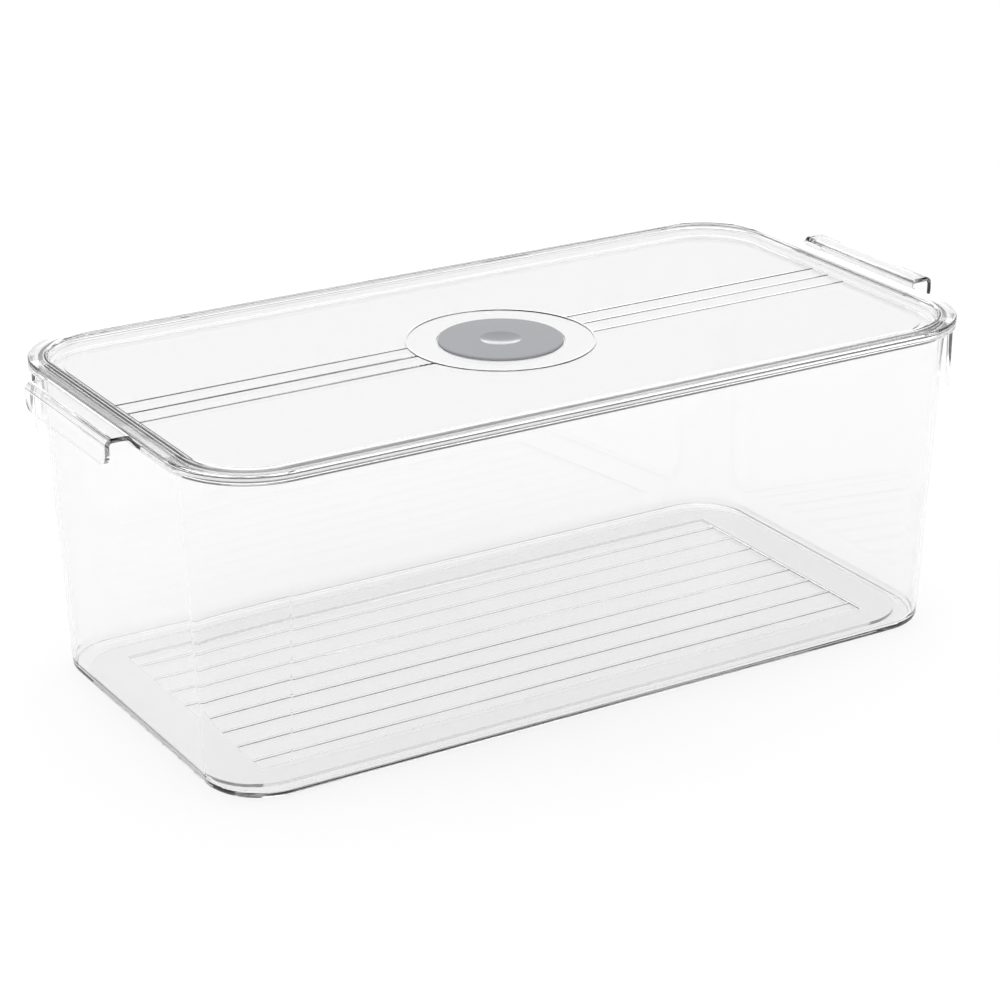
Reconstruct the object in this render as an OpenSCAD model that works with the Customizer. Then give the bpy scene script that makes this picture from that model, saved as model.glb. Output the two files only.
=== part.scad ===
// Lidded potato storage bin: a clear ribbed bin with two end handles, a recessed clear lid,
// and a round grey vent button that lifts in the middle of the lid.
// Origin at the centre of the base, +X along the length towards the right-hand handle, +Z up.

/* [Rim] */
// Length of the rim outline, without the handles
rim_l = 365; // [300:1:450]
// Width of the rim outline
rim_w = 193; // [160:1:260]
// Corner radius of the rim outline
rim_r = 36; // [32:0.5:50]
// Height of the bin, base to the top of its rim
bin_h = 138.5; // [100:0.2:200]
// How far the rim stands out past the wall
overhang = 4.4; // [4:0.1:7]
// Height of the band that hangs at the rim's edge
band_h = 3.3; // [3:0.1:8]
// Thickness of the rim and of its band
band_t = 1.6; // [1.2:0.1:2.4]

/* [Walls and floor] */
// Wall thickness
wall = 1.8; // [1.4:0.1:3]
// How far each wall leans in from rim to base
lean = 6.2; // [3:0.1:9]
// Outside radius between wall and base
base_r = 2.5; // [2:0.1:5]
// Floor thickness
floor_t = 2; // [1.4:0.1:3]
// Height of the foot under the middle of the floor, and so the depth of the floor's sunk middle
foot_h = 1.4; // [0.8:0.1:2]
// Width of the shelf that is left around the sunk floor at each end
shelf_end = 5.3; // [5:0.1:10]
// Width of the shelf along each side
shelf_side = 12.4; // [8:0.2:16]
// Corner radius of the sunk floor
floor_r = 23.5; // [20:0.5:32]

/* [Floor ribs] */
// Number of long ribs
rib_count = 8; // [4:1:10]
// Distance from rib to rib
rib_pitch = 14.8; // [10:0.1:16]
// Width of a rib
rib_w = 1.1; // [0.8:0.1:2]
// Height of a rib above the sunk floor
rib_h = 0.7; // [0.4:0.1:2]
// Distance from the sunk floor's edge to the border frame, at the ends
border_end = 6.2; // [4:0.5:10]
// Distance from the sunk floor's edge to the border frame, along the sides
border_side = 6.6; // [6:0.5:12]
// Width of the border frame
border_w = 4.6; // [3:0.1:7]
// Height of the border frame
border_h = 0.5; // [0.3:0.1:1.5]
// Outer corner radius of the border frame
border_r = 17; // [12:1:22]

/* [Handles] */
// Width of a handle
handle_w = 76; // [60:1:100]
// How far each handle stands off the middle, to the right of someone who faces it
handle_shift = 2; // [0:0.5:8]
// Reach of a handle past the rim
handle_reach = 13; // [11:0.2:20]
// Height of the lip that hangs from a handle
handle_lip = 11.2; // [7:0.2:16]
// Thickness of a handle
handle_t = 2; // [1.5:0.1:2.6]
// How far a handle's flat top stands above the bin's rim
handle_rise = 3.4; // [1:0.1:4]
// Outside radius of the bend from top to lip
handle_bend = 3.2; // [2.2:0.1:6]
// Run of the curved riser from the rim to the handle's flat top
handle_run = 3.6; // [2.5:0.1:5]
// Radius of the lip's lower corners
handle_corner = 5; // [2:0.5:6]
// Radius of the curve that flares a handle's sides into the rim
handle_flare = 5; // [3:0.5:8]

/* [Nesting lugs] */
// Height of the lug that hangs under the rim at two corners
lug_h = 29; // [12:1:35]
// Thickness of a lug at its root
lug_root = 1.8; // [1.2:0.1:2.6]
// Thickness of a lug at its tip
lug_tip = 1.2; // [0.8:0.1:1.6]
// Length of a lug along the rim's corner
lug_w = 4; // [3:0.5:10]
// Where a lug stands in its corner, turned from the bin's length towards its side
lug_turn = 30; // [15:1:60]
// Set-back of a lug from the rim's edge
lug_inset = 1; // [0.6:0.1:1.4]

/* [Lid] */
// Thickness of the lid's flange on the rim
flange_t = 1.5; // [1.2:0.1:2.4]
// How much the flange's top rises from its outer edge to its inner edge
crown_h = 0.4; // [0.2:0.1:1]
// Radius of the flange's inner edge, over the recess
crown_r = 1.5; // [0.8:0.1:2]
// Thickness of the lid's recess wall
lid_wall = 1.7; // [1.5:0.1:2.4]
// Clearance of the lid's recess wall inside the bin
lid_clear = 0.4; // [0.3:0.1:1]
// How far the recess wall leans in from top to bottom
lid_lean = 0.6; // [0.3:0.1:1.2]
// Depth of the recess below the flange's inner edge
recess_d = 4.8; // [4:0.1:8]
// Thickness of the lid's panel
panel_t = 1.8; // [1.5:0.1:3]
// Radius between recess wall and panel
recess_r = 1.8; // [1:0.1:2.2]
// Distance from the recess wall's foot to the raised panel, along the sides
panel_side = 5.5; // [3:0.5:10]
// Distance from the recess wall's foot to the raised panel, at the ends
panel_end = 2.4; // [1.5:0.1:8]
// Height of the raised panel
panel_rise = 0.4; // [0.3:0.1:0.9]
// Distance between the three fine ribs on the panel
line_pitch = 11.2; // [8:0.1:14]
// Width of a fine rib on the panel
line_w = 1; // [0.6:0.1:2]
// Height of a fine rib above the panel
line_h = 0.4; // [0.3:0.1:1]

/* [Vent] */
// Outside radius of the fine ring around the vent
ring_r = 40; // [34:0.2:46]
// Width of the fine ring
ring_w = 1; // [0.6:0.1:2]
// Height of the fine ring above the panel
ring_h = 0.5; // [0.3:0.1:1]
// Radius of the vent button
button_r = 26.4; // [22:0.2:30]
// Thickness of the vent button
button_t = 1.7; // [1.6:0.1:3]
// Gap between the button and its pocket's rim
button_gap = 0.6; // [0.4:0.1:1.2]
// Depth of the pocket that the button sits in
pocket_d = 1.2; // [0.6:0.1:1.2]
// Height of the sealing lip under the button
lip_h = 0.4; // [0.4:0.1:1]
// Thickness of the sealing lip
lip_t = 1.4; // [1:0.1:2]
// Inside radius of the sealing lip
lip_r = 21; // [19.5:0.5:22]
// Radius of the finger dimple
dimple_r = 8.7; // [6:0.1:10]
// Depth of the finger dimple
dimple_d = 1; // [0.6:0.1:1.2]
// Number of air holes under the button
port_count = 8; // [6:1:12]
// Radius of an air hole
port_r = 1.8; // [1.2:0.1:2.2]
// Radius of the circle that the air holes lie on
port_circle = 14.5; // [13:0.5:16]
// Radius of the button's stem
stem_r = 3.5; // [3:0.1:4.5]
// Running clearance between the stem and its sleeve
stem_clear = 0.1; // [0.05:0.01:0.15]
// Wall of the sleeve that guides the stem
sleeve_t = 1.9; // [2:0.1:3]
// Length of the sleeve below the panel
sleeve_h = 0.6; // [0.4:0.1:3]
// How far the button lifts to open the vent
vent_travel = 2.2; // [1.5:0.1:4]
// Thickness of the collar that stops the button
collar_t = 1.4; // [1:0.1:3]
// Interference that holds the collar on the stem
collar_grip = 0.05; // [0.02:0.01:0.1]

/* [Hidden] */
$fn = 96;
// Steps in each rounded corner of a profile
arc_steps = 6;
// Small rounding that breaks the rim's and the lid's outer edges
edge_break = 0.5;

// Insets are measured inwards from the rim outline
wall_inset = overhang;
inner_inset = overhang + wall;
base_inset = overhang + lean;
base_l = rim_l - 2 * base_inset;
base_w = rim_w - 2 * base_inset;
floor_l = base_l - 2 * shelf_end;
floor_w = base_w - 2 * shelf_side;
shelf_top = foot_h + floor_t;
border_l = floor_l - 2 * border_end;
border_wide = floor_w - 2 * border_side;
rib_l = border_l - border_w;

flange_top = bin_h + flange_t;
lid_top = flange_top + crown_h;
margin_top = lid_top - recess_d;
panel_top = margin_top + panel_rise;
panel_low = margin_top - panel_t;
plug_inset = inner_inset + lid_clear;
recess_inset = plug_inset + lid_wall;
foot_inset = recess_inset + lid_lean + recess_r;
panel_l = rim_l - 2 * (foot_inset + panel_end);
panel_w = rim_w - 2 * (foot_inset + panel_side);
panel_r = rim_r - foot_inset - panel_end;
pocket_r = button_r + button_gap;
pocket_z = panel_top - pocket_d;
sleeve_r = stem_r + stem_clear + sleeve_t;
sleeve_low = panel_low - sleeve_h;
collar_top = sleeve_low - vent_travel;
collar_low = collar_top - collar_t;
button_low = pocket_z + lip_h;
button_top = button_low + button_t;
// Radius of the ball that cuts the dimple
dimple_ball = (dimple_r * dimple_r + dimple_d * dimple_d) / (2 * dimple_d);

// Points of an arc about a centre, from one angle to another
function arc(centre, r, from, to) = [
    for (i = [0 : arc_steps]) let (a = from + (to - from) * i / arc_steps)
        [centre[0] + r * cos(a), centre[1] + r * sin(a)]];

// Inset of the bin's outer wall face at a height
function wall_at(z) = base_inset - lean * (z - foot_h) / (bin_h - band_t - foot_h);

// A flat plate with rounded corners, centred on the origin
module rounded_plate(l, w, r, h) {
    linear_extrude(height = h) {
        square([l, w - 2 * r], center = true);
        square([l - 2 * r, w], center = true);
        for (x = [-1, 1], y = [-1, 1])
            translate([x * (l / 2 - r), y * (w / 2 - r)]) circle(r = r);
    }
}

// Runs a profile once around the rim outline. Its x is the distance out from a corner's centre.
module around_rim() {
    for (quarter = [0 : 3]) {
        along = quarter % 2 == 0 ? rim_w - 2 * rim_r : rim_l - 2 * rim_r;
        out = quarter % 2 == 0 ? rim_l / 2 - rim_r : rim_w / 2 - rim_r;
        rotate([0, 0, 90 * quarter]) {
            translate([out, along / 2, 0]) rotate([90, 0, 0]) linear_extrude(height = along) children();
            translate([out, along / 2, 0]) rotate_extrude(angle = 90) children();
        }
    }
}

// Turns [inset, height] points into a profile for around_rim
module inset_profile(points) {
    polygon([for (p = points) [rim_r - p[0], p[1]]]);
}

// Section of the bin: edge of the shelf, wall, and rim with its hanging band
module bin_section() {
    inner_foot = wall_at(shelf_top) + wall;
    inner_r = base_r;
    inset_profile(concat(
        [[rim_r - 1, foot_h]],
        [for (p = arc([0, foot_h + base_r], base_r, 270, 360)) [base_inset + base_r - p[0], p[1]]],
        [[wall_inset, bin_h - band_t], [band_t, bin_h - band_t], [band_t, bin_h - band_h],
            [edge_break, bin_h - band_h], [0, bin_h - band_h + edge_break], [0, bin_h - edge_break],
            [edge_break, bin_h], [inner_inset, bin_h]],
        [for (p = arc([0, shelf_top + inner_r], inner_r, 360, 270)) [inner_foot + inner_r - p[0], p[1]]],
        [[rim_r - 1, shelf_top]]));
}

// Shelf around the base, with the sunk floor and foot in it, the long ribs and their border frame
module bin_floor() {
    difference() {
        union() {
            translate([0, 0, foot_h])
                rounded_plate(base_l - 2 * base_r, base_w - 2 * base_r, rim_r - base_inset - base_r, floor_t);
            rounded_plate(floor_l + foot_h, floor_w + foot_h, floor_r + foot_h / 2, shelf_top);
        }
        translate([0, 0, floor_t]) rounded_plate(floor_l, floor_w, floor_r, shelf_top);
    }
    translate([0, 0, floor_t / 2]) difference() {
        rounded_plate(border_l, border_wide, border_r, floor_t / 2 + border_h);
        translate([0, 0, -1])
            rounded_plate(border_l - 2 * border_w, border_wide - 2 * border_w, border_r - border_w,
                floor_t + border_h + 2);
    }
    for (i = [0 : rib_count - 1])
        translate([-rib_l / 2, (i - (rib_count - 1) / 2) * rib_pitch - rib_w / 2, floor_t / 2])
            cube([rib_l, rib_w, floor_t / 2 + rib_h]);
}

// Section of a handle, from inside the rim's edge out to the tip of its lip
module handle_section() {
    top = bin_h + handle_rise;
    bend_x = handle_reach - handle_bend;
    riser = [for (i = [0 : 2 * arc_steps]) let (s = i / arc_steps / 2)
        [s * handle_run, bin_h + handle_rise * (1 - cos(180 * s)) / 2]];
    polygon(concat(
        [[-band_t, bin_h]],
        riser,
        arc([bend_x, top - handle_bend], handle_bend, 90, 0),
        [[handle_reach, top - handle_lip], [handle_reach - handle_t, top - handle_lip]],
        arc([bend_x, top - handle_bend], handle_bend - handle_t, 0, 90),
        [for (i = [len(riser) - 1 : -1 : 0]) [riser[i][0], riser[i][1] - handle_t]],
        [[-band_t, bin_h - handle_t]]));
}

// Outline of a handle seen from above: straight sides that flare where they meet the rim
module handle_plan() {
    half = handle_w / 2;
    side = concat(
        [[-band_t, half + handle_flare]],
        arc([handle_flare, half + handle_flare], handle_flare, 180, 270),
        [[handle_reach + 1, half]]);
    polygon(concat(side, [for (i = [len(side) - 1 : -1 : 0]) [side[i][0], -side[i][1]]]));
}

// One handle at the right-hand end: its section run across, cut to its plan and to the lip's corners
module handle() {
    low = bin_h + handle_rise - handle_lip;
    tall = handle_lip + handle_corner;
    wide = handle_w + 2 * handle_flare;
    translate([rim_l / 2, -handle_shift, 0]) intersection() {
        translate([0, wide / 2, 0]) rotate([90, 0, 0]) linear_extrude(height = wide) handle_section();
        translate([0, 0, low - 1]) linear_extrude(height = tall + 2) handle_plan();
        union() {
            translate([-band_t - 1, 0, low + tall / 2]) rotate([90, 0, 90])
                rounded_plate(handle_w, tall, handle_corner, handle_reach + band_t + 2);
            translate([-band_t - 1, -wide / 2, low])
                cube([band_t + 1 + handle_reach - handle_bend, wide, tall]);
        }
    }
}

// A tapered lug under the rim, in the corner to the right of the front
module lug() {
    out = rim_r - lug_inset;
    half = asin(lug_w / 2 / out);
    translate([rim_l / 2 - rim_r, -(rim_w / 2 - rim_r), 0]) rotate([0, 0, -lug_turn - half])
        rotate_extrude(angle = 2 * half)
            polygon(concat(
                [[out, bin_h - band_t / 2], [out - lug_root, bin_h - band_t / 2]],
                [for (p = arc([0, 0], lug_tip / 2, 180, 360))
                    [out - lug_root / 2 + p[0], bin_h - band_h - lug_h + lug_tip / 2 + p[1]]]));
}

module bin() {
    color([0.93, 0.94, 0.95, 0.4]) {
        around_rim() bin_section();
        bin_floor();
        for (turn = [0, 180]) rotate([0, 0, turn]) {
            handle();
            lug();
        }
    }
}

// Section of the lid: flange, recess wall and the edge of the panel
module lid_section() {
    inner_r = recess_r;
    outer_r = recess_r + panel_t / 2;
    inset_profile(concat(
        [[edge_break, bin_h], [0, bin_h + edge_break], [0, flange_top - edge_break],
            [edge_break, flange_top]],
        [for (p = arc([recess_inset - crown_r, lid_top - crown_r], crown_r, 90, 0)) p],
        [for (p = arc([0, margin_top + inner_r], inner_r, 180, 270)) [foot_inset + p[0], p[1]]],
        [[rim_r - 1, margin_top], [rim_r - 1, panel_low]],
        [for (p = arc([0, panel_low + outer_r], outer_r, 270, 180))
            [plug_inset + lid_lean + outer_r + p[0], p[1]]],
        [[plug_inset, bin_h]]));
}

// The panel's plates and fine ribs, before the vent's holes are cut
module lid_panel() {
    rounded = rim_r - foot_inset;
    translate([0, 0, panel_low])
        rounded_plate(rim_l - 2 * foot_inset, rim_w - 2 * foot_inset, rounded, panel_t);
    translate([0, 0, panel_low])
        rounded_plate(panel_l, panel_w, panel_r, panel_t + panel_rise);
    difference() {
        union() {
            for (i = [-1 : 1])
                translate([-panel_l / 2, i * line_pitch - line_w / 2, panel_low])
                    cube([panel_l, line_w, panel_top + line_h - panel_low]);
            translate([0, 0, panel_low]) cylinder(r = ring_r, h = panel_top + ring_h - panel_low);
        }
        translate([0, 0, panel_top]) cylinder(r = ring_r - ring_w, h = ring_h + line_h);
    }
    translate([0, 0, sleeve_low]) cylinder(r = sleeve_r, h = panel_low - sleeve_low + 1);
}

module lid() {
    color([0.93, 0.94, 0.95, 0.4]) difference() {
        union() {
            around_rim() lid_section();
            lid_panel();
        }
        translate([0, 0, pocket_z]) cylinder(r = pocket_r, h = lid_top);
        translate([0, 0, sleeve_low - 1]) cylinder(r = stem_r + stem_clear, h = lid_top);
        for (i = [0 : port_count - 1])
            rotate([0, 0, (i + 0.5) * 360 / port_count]) translate([port_circle, 0, panel_low - 1])
                cylinder(r = port_r, h = lid_top);
    }
}

// Button, sealing lip and stem turned as one, with the finger dimple cut from the top
module vent_button() {
    color([0.66, 0.67, 0.68]) difference() {
        rotate_extrude() polygon([
            [0, collar_low], [stem_r, collar_low], [stem_r, button_low], [lip_r, button_low],
            [lip_r, pocket_z], [lip_r + lip_t, pocket_z], [lip_r + lip_t, button_low],
            [button_r - edge_break, button_low], [button_r, button_low + edge_break],
            [button_r, button_top - edge_break], [button_r - edge_break, button_top], [0, button_top]]);
        translate([0, 0, button_top - dimple_d + dimple_ball]) sphere(r = dimple_ball);
    }
}

// Collar pressed on the stem's end, which stops the button under the sleeve
module vent_collar() {
    color([0.66, 0.67, 0.68]) translate([0, 0, collar_low]) difference() {
        cylinder(r = sleeve_r, h = collar_t);
        translate([0, 0, -1]) cylinder(r = stem_r - collar_grip, h = collar_t + 2);
    }
}

bin();
lid();
vent_button();
vent_collar();
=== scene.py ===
"""A clear lidded produce bin with a grey vent button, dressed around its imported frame.

Each operator finishes one piece, or a group of like pieces. The panel in the sidebar lists them.
"""
import math

import bpy
from mathutils import Matrix, Vector


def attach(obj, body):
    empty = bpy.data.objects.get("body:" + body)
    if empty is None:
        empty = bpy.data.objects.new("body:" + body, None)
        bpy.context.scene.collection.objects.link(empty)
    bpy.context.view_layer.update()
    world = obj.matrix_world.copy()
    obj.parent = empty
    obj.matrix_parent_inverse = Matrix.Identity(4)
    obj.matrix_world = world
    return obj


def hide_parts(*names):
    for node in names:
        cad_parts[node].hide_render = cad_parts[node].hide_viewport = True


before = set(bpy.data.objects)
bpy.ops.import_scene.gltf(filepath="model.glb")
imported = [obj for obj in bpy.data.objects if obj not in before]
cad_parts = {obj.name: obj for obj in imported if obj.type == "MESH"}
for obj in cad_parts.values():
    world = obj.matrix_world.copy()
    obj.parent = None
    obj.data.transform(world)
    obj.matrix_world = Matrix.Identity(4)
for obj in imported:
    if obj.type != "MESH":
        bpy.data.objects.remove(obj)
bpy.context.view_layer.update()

bl_info = {
    "name": "Vented Produce Bin",
    "version": (1, 0, 0),
    "blender": (4, 5, 0),
    "location": "View3D > Sidebar > Produce Bin",
    "description": "Finishes a clear lidded produce bin and its grey vent button",
    "category": "Object",
}

# One millimetre, in metres
MM = 0.001

# The grey plastic: its refractive index, and its grain's bump strength and depth as a share of its size
ABS_IOR = 1.53
GRAIN_STRENGTH = 0.4
GRAIN_DEPTH = 1 / 8

# Corners that lie this close together are at one point
POINT_STEP = 0.001 * MM
# Normals at one point that round to the same digits count once
NORMAL_DIGITS = 2
# Cosine between the normals of two faces, above which they are one smooth surface
ONE_SURFACE = 0.9995
# Lowest and highest cosine between a chamfer's normal and its neighbour's
CHAMFER_TURN = (0.55, 0.85)
# A chamfer's neighbour has more than this many times its area
NEIGHBOUR_AREA = 1.5
# Upward share of a normal: the least of a face that lies flat, and the most of one that stands upright
LYING = 0.99
UPRIGHT = 0.3
# Shortest rim that a surface is taken to have, in metres, so that one with no rim counts as wide
SHORTEST_RIM = 1e-9

# Where the camera stands, in metres, and how it looks: azimuth, elevation and roll in degrees
CAMERA_PLACE = (-0.6091, -1.0037, 0.5337)
CAMERA_AZIMUTH = -31.2253
CAMERA_ELEVATION = 21.7907
CAMERA_ROLL = -0.2318
# Width of the camera's sensor in millimetres, and how far it sees in metres
SENSOR = 36.0
CAMERA_REACH = 100

# What makes a step between two brightnesses a soft one
SMOOTH = {"interpolation_type": "SMOOTHSTEP"}
# How softly each white part of the surroundings ends, in the sine or cosine that places its edge
BACKDROP_SOFTNESS = 0.05
WALL_SOFTNESS = 0.04
LAMP_SOFTNESS = 0.04
# Cosine of the angle from straight ahead at which the low lamp's light starts and is full
LAMP_SIDES = (0.9, 0.94)
# The floor's paper has hardly any shine
PAPER_ROUGHNESS = 0.9

# How often light may turn: the way through the lid, both walls and the ribs crosses many faces
CLEAR_BOUNCES = 40
GLOSSY_BOUNCES = 16


# Colours and nodes

def linear(hex_colour):
    """An sRGB hex colour as linear red, green and blue, with an alpha of 1."""
    channels = [int(hex_colour[start:start + 2], 16) / 255 for start in (1, 3, 5)]
    light = [c / 12.92 if c <= 0.04045 else ((c + 0.055) / 1.055) ** 2.4 for c in channels]
    return (*light, 1.0)


def add_node(tree, kind, settings=None, values=None, links=None):
    """Adds a node of a kind, with its settings, its sockets' values and the sockets that feed it."""
    node = tree.nodes.new(kind)
    for name, value in (settings or {}).items():
        setattr(node, name, value)
    for name, value in (values or {}).items():
        node.inputs[name].default_value = value
    for name, source in (links or {}).items():
        tree.links.new(source, node.inputs[name])
    return node


def new_material(name):
    """An empty node material of that name."""
    made = bpy.data.materials.new(name)
    made.use_nodes = True
    made.node_tree.nodes.clear()
    return made


def clear_plastic(name, look):
    """Styrene acrylonitrile, injection-moulded in a polished steel mould.

    Bright and colourless through a wall, with a faint grey where light runs along inside it, at rims
    and ribs. The mould's polish leaves a very slight ripple of a few centimetres. Light and shadow on
    their way to other things pass straight through, so the bin is as bright inside as outside.
    """
    made = new_material(name)
    tree = made.node_tree
    place = add_node(tree, "ShaderNodeTexCoord")
    ripple = add_node(tree, "ShaderNodeTexNoise",
                      values={"Scale": 1 / look.ripple_length, "Detail": 1.0},
                      links={"Vector": place.outputs["Object"]})
    bump = add_node(tree, "ShaderNodeBump", values={"Strength": 1.0, "Distance": look.ripple_height},
                    links={"Height": ripple.outputs["Fac"]})
    shader = add_node(tree, "ShaderNodeBsdfPrincipled",
                      values={"Base Color": linear(look.tint), "Roughness": look.roughness,
                              "IOR": look.ior, "Transmission Weight": 1.0},
                      links={"Normal": bump.outputs["Normal"]})
    open_way = add_node(tree, "ShaderNodeBsdfTransparent", values={"Color": linear(look.light_tint)})
    path = add_node(tree, "ShaderNodeLightPath")
    lighting = add_node(tree, "ShaderNodeMath", {"operation": "MAXIMUM"},
                        links={0: path.outputs["Is Shadow Ray"], 1: path.outputs["Is Diffuse Ray"]})
    both = add_node(tree, "ShaderNodeMixShader",
                    links={0: lighting.outputs["Value"], 1: shader.outputs["BSDF"],
                           2: open_way.outputs["BSDF"]})
    inside = add_node(tree, "ShaderNodeVolumeAbsorption",
                      values={"Color": linear(look.depth_tint), "Density": look.depth_density})
    add_node(tree, "ShaderNodeOutputMaterial",
             links={"Surface": both.outputs["Shader"], "Volume": inside.outputs["Volume"]})
    return made


def grey_plastic(name, look):
    """ABS, injection-moulded in a spark-eroded mould: a soft grey satin sheen with a fine even grain.

    The grain is drawn a few times coarser than a real one, which would be too fine to show.
    """
    made = new_material(name)
    tree = made.node_tree
    place = add_node(tree, "ShaderNodeTexCoord")
    grain = add_node(tree, "ShaderNodeTexNoise", values={"Scale": 1 / look.grain, "Detail": 3.0},
                     links={"Vector": place.outputs["Object"]})
    bump = add_node(tree, "ShaderNodeBump",
                    values={"Strength": GRAIN_STRENGTH, "Distance": look.grain * GRAIN_DEPTH},
                    links={"Height": grain.outputs["Fac"]})
    shader = add_node(tree, "ShaderNodeBsdfPrincipled",
                      values={"Base Color": linear(look.colour), "Roughness": look.roughness,
                              "IOR": ABS_IOR},
                      links={"Normal": bump.outputs["Normal"]})
    add_node(tree, "ShaderNodeOutputMaterial", links={"Surface": shader.outputs["BSDF"]})
    return made


# Moulded edges

def corner_keys(mesh):
    """One key for each corner of a mesh: corners at the same point share it."""
    places = {}
    keys = []
    for vertex in mesh.vertices:
        place = tuple(round(c / POINT_STEP) for c in vertex.co)
        keys.append(places.setdefault(place, len(places)))
    return [keys[loop.vertex_index] for loop in mesh.loops]


def edge_corners(face):
    """The corners at the start and end of each edge of a face."""
    corners = list(face.loop_indices)
    return zip(corners, corners[1:] + corners[:1])


def surfaces(mesh, keys, normals):
    """Numbers the smooth surfaces of a mesh: faces that share an edge and its normals are one surface."""
    owner = list(range(len(mesh.polygons)))

    def root(face):
        while owner[face] != face:
            owner[face] = owner[owner[face]]
            face = owner[face]
        return face

    edges = {}
    for face in mesh.polygons:
        for here, there in edge_corners(face):
            first, last = sorted(((keys[here], normals[here]), (keys[there], normals[there])),
                                 key=lambda end: end[0])
            edges.setdefault((first[0], last[0]), []).append((face.index, first[1], last[1]))
    for sides in edges.values():
        if len(sides) == 2:
            (one, first, last), (other, next_first, next_last) = sides
            if first.dot(next_first) > ONE_SURFACE and last.dot(next_last) > ONE_SURFACE:
                owner[root(one)] = root(other)
    return [root(face.index) for face in mesh.polygons]


def edge_sides(mesh, keys, owner):
    """The surfaces on the two sides of each edge."""
    sides = {}
    for face in mesh.polygons:
        for here, there in edge_corners(face):
            ends = tuple(sorted((keys[here], keys[there])))
            sides.setdefault(ends, []).append(owner[face.index])
    return sides


def areas_and_widths(mesh, keys, owner):
    """The area of each smooth surface, and its width if it were one long strip."""
    place = {keys[loop.index]: mesh.vertices[loop.vertex_index].co for loop in mesh.loops}
    area, rim = {}, {}
    for face in mesh.polygons:
        surface = owner[face.index]
        area[surface] = area.get(surface, 0) + face.area
    for (start, end), sides in edge_sides(mesh, keys, owner).items():
        if sides[0] != sides[-1]:
            length = (place[start] - place[end]).length
            for surface in set(sides):
                rim[surface] = rim.get(surface, 0) + length
    width = {surface: 2 * area[surface] / max(rim.get(surface, 0), SHORTEST_RIM) for surface in area}
    return area, width


def rounded_normals(mesh, keys, normals, look):
    """Normals that turn each narrow chamfer into a rounded edge, and each narrow rib into a bead."""
    owner = surfaces(mesh, keys, normals)
    area, width = areas_and_widths(mesh, keys, owner)
    surface_of, corners_at = {}, {}
    for face in mesh.polygons:
        for corner in face.loop_indices:
            surface_of[corner] = owner[face.index]
            corners_at.setdefault(keys[corner], []).append(corner)

    def is_neighbour(corner, other):
        mine, theirs = surface_of[corner], surface_of[other]
        turn = normals[other].dot(normals[corner])
        larger = area[theirs] > NEIGHBOUR_AREA * area[mine]
        return theirs != mine and larger and CHAMFER_TURN[0] < turn < CHAMFER_TURN[1]

    made = list(normals)
    for face in mesh.polygons:
        if width[owner[face.index]] > look.chamfer:
            continue
        for corner in face.loop_indices:
            near = [other for other in corners_at[keys[corner]] if is_neighbour(corner, other)]
            if near:
                made[corner] = normals[max(near, key=lambda other: area[surface_of[other]])]
    for face in mesh.polygons:
        wide = width[owner[face.index]]
        rib_top = face.normal.z > LYING and wide <= look.rib
        lower_edge = face.normal.z < -LYING and wide <= look.edge
        if not (rib_top or lower_edge):
            continue
        for corner in face.loop_indices:
            beside = [other for other in corners_at[keys[corner]] if abs(normals[other].z) < UPRIGHT]
            if beside:
                aside = sum((normals[other] for other in beside), Vector()) / len(beside)
                turned = (normals[corner] + look.crown * aside).normalized()
                for other in (corner, *beside):
                    made[other] = turned
    return made


def outward_ways(mesh, keys, normals):
    """The way straight out of the solid at each point of a mesh."""
    found = {}
    for face in mesh.polygons:
        for corner in face.loop_indices:
            rounded = tuple(round(c, NORMAL_DIGITS) for c in normals[corner])
            found.setdefault(keys[corner], set()).add(rounded)
    return {key: sum((Vector(n) for n in ways), Vector()).normalized() for key, ways in found.items()}


def moulded(name, node, body, material, look):
    """Stands in for a node of the frame: the same shape, drawn a hair inside it, with rounded edges."""
    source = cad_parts[node].data
    mesh = source.copy()
    mesh.name = name
    keys = corner_keys(mesh)
    normals = [corner.vector.copy() for corner in source.corner_normals]
    outwards = outward_ways(mesh, keys, normals)
    custom = rounded_normals(mesh, keys, normals, look)
    key_of = {loop.vertex_index: keys[loop.index] for loop in mesh.loops}
    for vertex in mesh.vertices:
        if vertex.index in key_of:
            vertex.co -= outwards[key_of[vertex.index]] * look.skin_gap
    mesh.normals_split_custom_set([tuple(normal) for normal in custom])
    mesh.materials.clear()
    mesh.materials.append(material)
    piece = bpy.data.objects.new(name, mesh)
    bpy.context.collection.objects.link(piece)
    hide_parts(node)
    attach(piece, body)
    return piece


# What a user may change

class ClearPlasticLook(bpy.types.PropertyGroup):
    """The clear plastic of the tub and the lid"""
    tint: bpy.props.StringProperty(
        name="Tint", default="#FEFEFE",
        description="Colour of the clear plastic's surface, as an sRGB hex value")
    depth_tint: bpy.props.StringProperty(
        name="Depth tint", default="#BDBDBD",
        description="Colour that light takes along inside the plastic, as an sRGB hex value")
    depth_density: bpy.props.FloatProperty(
        name="Depth density", default=22.0, min=0.0, max=200.0,
        description="How fast light takes the depth tint, per metre")
    light_tint: bpy.props.StringProperty(
        name="Light tint", default="#FEFEFE",
        description="Colour of the light that passes one surface, as an sRGB hex value")
    ior: bpy.props.FloatProperty(
        name="Refractive index", default=1.57, min=1.3, max=1.8,
        description="Refractive index of the clear plastic")
    roughness: bpy.props.FloatProperty(
        name="Roughness", default=0.0, min=0.0, max=1.0, subtype="FACTOR",
        description="Roughness of the polished surface")
    ripple_length: bpy.props.FloatProperty(
        name="Ripple length", default=30 * MM, unit="LENGTH",
        description="Length of the moulding's faint ripple")
    ripple_height: bpy.props.FloatProperty(
        name="Ripple height", default=0.02 * MM, unit="LENGTH",
        description="Height of the moulding's faint ripple")


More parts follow.
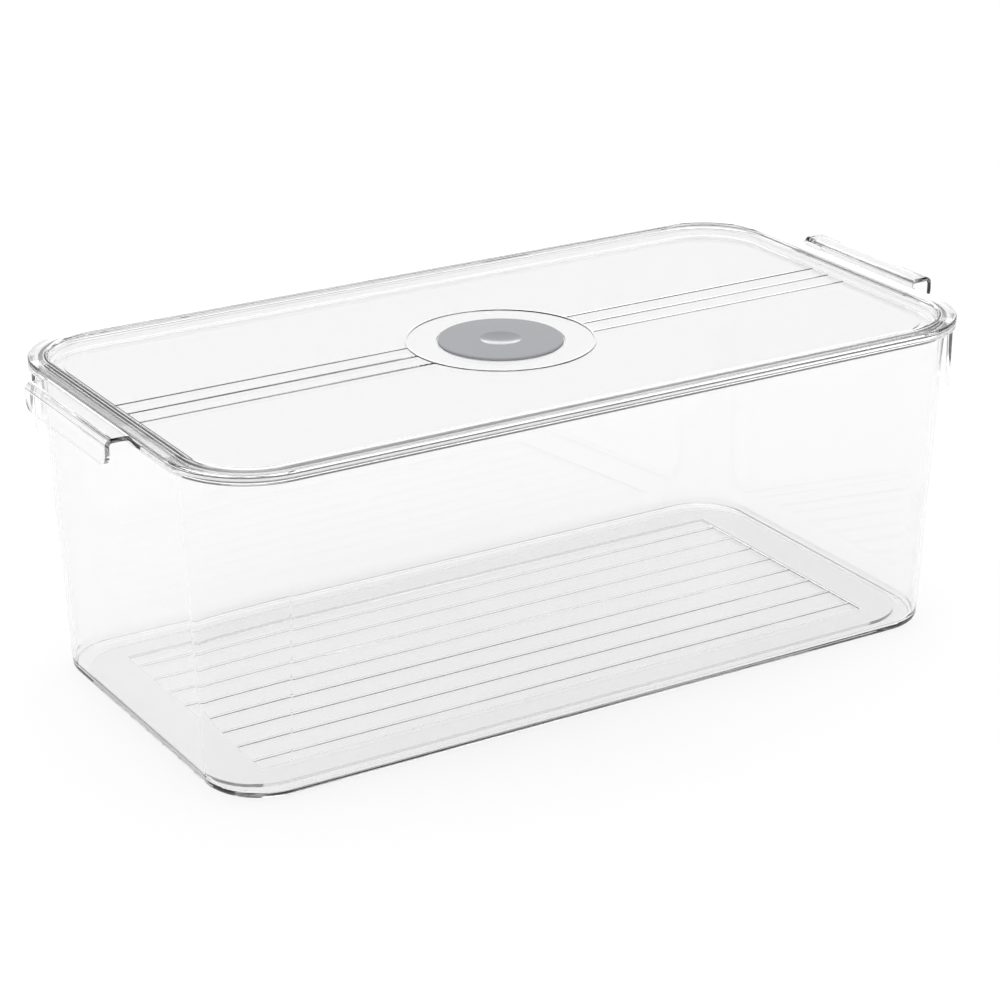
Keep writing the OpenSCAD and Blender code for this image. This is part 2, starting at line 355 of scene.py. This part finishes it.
class MouldLook(bpy.types.PropertyGroup):
    """The rounded edges that the mould gives each piece"""
    chamfer: bpy.props.FloatProperty(
        name="Widest chamfer", default=0.9 * MM, unit="LENGTH",
        description="Width up to which a chamfer is drawn as a rounded edge")
    rib: bpy.props.FloatProperty(
        name="Widest rib", default=1.05 * MM, unit="LENGTH",
        description="Width up to which the top of a rib is drawn as a rounded bead")
    edge: bpy.props.FloatProperty(
        name="Widest edge", default=1.2 * MM, unit="LENGTH",
        description="Width up to which a lower edge is drawn as a rounded bead")
    crown: bpy.props.FloatProperty(
        name="Bead crown", default=0.15, min=0.0, max=1.0, subtype="FACTOR",
        description="How far the shine of a bead turns to its sides, from 0 for a flat top")
    skin_gap: bpy.props.FloatProperty(
        name="Skin gap", default=0.04 * MM, unit="LENGTH",
        description="How far each skin lies inside its solid, which keeps air between pieces")


class VentLook(bpy.types.PropertyGroup):
    """The grey plastic of the vent button and its collar"""
    colour: bpy.props.StringProperty(
        name="Colour", default="#909195",
        description="Colour of the vent button, as an sRGB hex value")
    roughness: bpy.props.FloatProperty(
        name="Roughness", default=0.13, min=0.0, max=1.0, subtype="FACTOR",
        description="Roughness of the satin grey plastic")
    grain: bpy.props.FloatProperty(
        name="Grain", default=0.6 * MM, unit="LENGTH",
        description="Size of the satin surface's grain")


class StudioLook(bpy.types.PropertyGroup):
    """The floor, the light and the camera's lens"""
    floor_colour: bpy.props.StringProperty(
        name="Floor colour", default="#F7F7F7",
        description="Colour of the floor, as an sRGB hex value")
    floor_size: bpy.props.FloatProperty(
        name="Floor size", default=24.0, unit="LENGTH",
        description="Length of the floor's sides")
    white_light: bpy.props.FloatProperty(
        name="White light", default=1.1, min=0.0,
        description="Brightness of the white backdrop and the low white wall")
    room_light: bpy.props.FloatProperty(
        name="Room light", default=0.15, min=0.0,
        description="Brightness of the dark room")
    wall_top: bpy.props.FloatProperty(
        name="Wall top", default=0.42, min=0.0, max=1.0,
        description="Where the low white wall ends, as the sine of its height")
    backdrop_edge: bpy.props.FloatProperty(
        name="Backdrop edge", default=0.5, min=-1.0, max=1.0,
        description="Where the backdrop ends, as the cosine of its angle")
    lamp_light: bpy.props.FloatProperty(
        name="Low lamp", default=2.0, min=0.0,
        description="Extra brightness of the low lamp in front of the backdrop")
    lamp_top: bpy.props.FloatProperty(
        name="Lamp top", default=0.26, min=0.0, max=1.0,
        description="Where the low lamp ends, as the sine of its height")
    overhead: bpy.props.FloatProperty(
        name="Overhead light", default=2.35, min=0.0,
        description="Strength of the light above, in watts per square metre")
    overhead_spread: bpy.props.FloatProperty(
        name="Overhead spread", default=math.radians(100), subtype="ANGLE",
        description="Width of the light above, as an angle")
    focal_length: bpy.props.FloatProperty(
        name="Focal length", default=107.17,
        description="Focal length of the camera, in millimetres")


LOOKS = {
    "bin_clear_look": ClearPlasticLook,
    "bin_mould_look": MouldLook,
    "bin_vent_look": VentLook,
    "bin_studio_look": StudioLook,
}


# Pieces

class BIN_OT_tub(bpy.types.Operator):
    """Finish the clear tub with its handles and ribbed floor"""
    bl_idname = "produce_bin.tub"
    bl_label = "Clear tub"

    def execute(self, context):
        look = context.scene.bin_mould_look
        clear = clear_plastic("SAN moulded polished tub", context.scene.bin_clear_look)
        moulded("tub", "bin", "bin", clear, look)
        return {"FINISHED"}


class BIN_OT_lid(bpy.types.Operator):
    """Finish the clear recessed lid"""
    bl_idname = "produce_bin.lid"
    bl_label = "Clear lid"

    def execute(self, context):
        look = context.scene.bin_mould_look
        clear = clear_plastic("SAN moulded polished lid", context.scene.bin_clear_look)
        moulded("lid_tray", "lid", "lid", clear, look)
        return {"FINISHED"}


class BIN_OT_vent(bpy.types.Operator):
    """Finish the grey vent button and the collar that stops it"""
    bl_idname = "produce_bin.vent"
    bl_label = "Vent button"

    def execute(self, context):
        look = context.scene.bin_mould_look
        satin = grey_plastic("ABS moulded satin grey", context.scene.bin_vent_look)
        moulded("vent_knob", "vent_button", "vent", satin, look)
        moulded("vent_stop", "vent_collar", "vent", satin, look)
        return {"FINISHED"}


# Stage

def camera_turn():
    """The camera's turn as a matrix: its columns are right, up and back."""
    azimuth, elevation, roll = (math.radians(a) for a in (CAMERA_AZIMUTH, CAMERA_ELEVATION, CAMERA_ROLL))
    back = Vector((math.sin(azimuth) * math.cos(elevation), -math.cos(azimuth) * math.cos(elevation),
                   math.sin(elevation)))
    level = Vector((math.cos(azimuth), math.sin(azimuth), 0))
    upright = back.cross(level)
    right = math.cos(roll) * level + math.sin(roll) * upright
    up = math.cos(roll) * upright - math.sin(roll) * level
    return Matrix((right, up, back)).transposed().to_4x4()


def add_camera(look):
    """The camera at the photograph's place."""
    lens = bpy.data.cameras.new("camera")
    lens.sensor_width = SENSOR
    lens.lens = look.focal_length
    lens.clip_end = CAMERA_REACH
    camera = bpy.data.objects.new("camera", lens)
    camera.matrix_world = Matrix.Translation(CAMERA_PLACE) @ camera_turn()
    bpy.context.collection.objects.link(camera)
    bpy.context.scene.camera = camera


def add_floor(look):
    """A plain pale floor of matt paper, which scatters light evenly and has no shine of its own."""
    half = look.floor_size / 2
    corners = [(-half, -half, 0), (half, -half, 0), (half, half, 0), (-half, half, 0)]
    mesh = bpy.data.meshes.new("floor")
    mesh.from_pydata(corners, [], [(0, 1, 2, 3)])
    floor = bpy.data.objects.new("floor", mesh)
    bpy.context.collection.objects.link(floor)
    paper = new_material("Paper matt studio")
    shader = add_node(paper.node_tree, "ShaderNodeBsdfPrincipled",
                      values={"Base Color": linear(look.floor_colour), "Roughness": PAPER_ROUGHNESS,
                              "Specular IOR Level": 0.0})
    add_node(paper.node_tree, "ShaderNodeOutputMaterial", links={"Surface": shader.outputs["BSDF"]})
    mesh.materials.append(paper)


def add_surroundings(look):
    """A dark room with a white backdrop behind the bin and a low white wall all round.

    Low in front of the backdrop stands a brighter lamp, which gives the vent's dimple its shine. The
    dark room above shows in rims and ribs as thin dark lines.
    """
    world = bpy.data.worlds.new("studio")
    world.use_nodes = True
    tree = world.node_tree
    tree.nodes.clear()
    place = add_node(tree, "ShaderNodeTexCoord")
    parts = add_node(tree, "ShaderNodeSeparateXYZ", links={"Vector": place.outputs["Generated"]})
    azimuth = math.radians(CAMERA_AZIMUTH)
    away = add_node(tree, "ShaderNodeVectorMath", {"operation": "DOT_PRODUCT"},
                    {1: (-math.sin(azimuth), math.cos(azimuth), 0.0)}, {0: place.outputs["Generated"]})
    backdrop = add_node(tree, "ShaderNodeMapRange", SMOOTH,
                        {"From Min": look.backdrop_edge - BACKDROP_SOFTNESS,
                         "From Max": look.backdrop_edge + BACKDROP_SOFTNESS},
                        {"Value": away.outputs["Value"]})
    low_wall = add_node(tree, "ShaderNodeMapRange", SMOOTH,
                        {"From Min": look.wall_top - WALL_SOFTNESS, "From Max": look.wall_top,
                         "To Min": 1.0, "To Max": 0.0},
                        {"Value": parts.outputs["Z"]})
    white = add_node(tree, "ShaderNodeMath", {"operation": "MAXIMUM"},
                     links={0: backdrop.outputs["Result"], 1: low_wall.outputs["Result"]})
    pale = add_node(tree, "ShaderNodeMapRange",
                    values={"To Min": look.room_light, "To Max": look.white_light},
                    links={"Value": white.outputs["Value"]})
    ahead = add_node(tree, "ShaderNodeMapRange", SMOOTH,
                     {"From Min": LAMP_SIDES[0], "From Max": LAMP_SIDES[1]},
                     {"Value": away.outputs["Value"]})
    low_lamp = add_node(tree, "ShaderNodeMapRange", SMOOTH,
                        {"From Min": look.lamp_top - LAMP_SOFTNESS, "From Max": look.lamp_top,
                         "To Min": look.lamp_light, "To Max": 0.0},
                        {"Value": parts.outputs["Z"]})
    strength = add_node(tree, "ShaderNodeMath", {"operation": "MULTIPLY_ADD"},
                        links={0: ahead.outputs["Result"], 1: low_lamp.outputs["Result"],
                               2: pale.outputs["Result"]})
    light = add_node(tree, "ShaderNodeBackground", links={"Strength": strength.outputs["Value"]})
    add_node(tree, "ShaderNodeOutputWorld", links={"Surface": light.outputs["Background"]})
    bpy.context.scene.world = world


def add_overhead(look):
    """A wide soft light straight above, far enough away to light the whole floor alike.

    It isn't seen in the plastic, which shows only the surroundings.
    """
    light = bpy.data.lights.new("overhead", "SUN")
    light.energy = look.overhead
    light.angle = look.overhead_spread
    overhead = bpy.data.objects.new("overhead", light)
    overhead.visible_glossy = False
    overhead.visible_transmission = False
    bpy.context.collection.objects.link(overhead)


class BIN_OT_stage(bpy.types.Operator):
    """Add the pale floor, the soft light and the camera"""
    bl_idname = "produce_bin.stage"
    bl_label = "Studio and camera"

    def execute(self, context):
        look = context.scene.bin_studio_look
        add_camera(look)
        add_floor(look)
        add_surroundings(look)
        add_overhead(look)
        scene = context.scene
        scene.view_settings.view_transform = "Standard"
        scene.cycles.max_bounces = CLEAR_BOUNCES
        scene.cycles.transmission_bounces = CLEAR_BOUNCES
        scene.cycles.transparent_max_bounces = CLEAR_BOUNCES
        scene.cycles.glossy_bounces = GLOSSY_BOUNCES
        return {"FINISHED"}


PIECES = (BIN_OT_tub, BIN_OT_lid, BIN_OT_vent, BIN_OT_stage)


class BIN_PT_sidebar(bpy.types.Panel):
    """Lists the bin's pieces and what may be changed on them"""
    bl_idname = "BIN_PT_sidebar"
    bl_label = "Produce Bin"
    bl_space_type = "VIEW_3D"
    bl_region_type = "UI"
    bl_category = "Produce Bin"

    def draw(self, context):
        for piece in PIECES:
            self.layout.operator(piece.bl_idname, text=piece.bl_label)
        for name in LOOKS:
            look = getattr(context.scene, name)
            box = self.layout.box()
            for setting in look.__annotations__:
                box.prop(look, setting)


CLASSES = (*LOOKS.values(), *PIECES, BIN_PT_sidebar)


def register():
    """Adds the classes, and the settings that the scene keeps."""
    for cls in CLASSES:
        bpy.utils.register_class(cls)
    for name, group in LOOKS.items():
        setattr(bpy.types.Scene, name, bpy.props.PointerProperty(type=group))


def unregister():
    """Takes away what register adds."""
    for name in LOOKS:
        delattr(bpy.types.Scene, name)
    for cls in reversed(CLASSES):
        bpy.utils.unregister_class(cls)


def main():
    """Finishes every piece in order."""
    register()
    bpy.ops.produce_bin.stage()
    bpy.ops.produce_bin.tub()
    bpy.ops.produce_bin.lid()
    bpy.ops.produce_bin.vent()


if __name__ == "__main__":
    main()
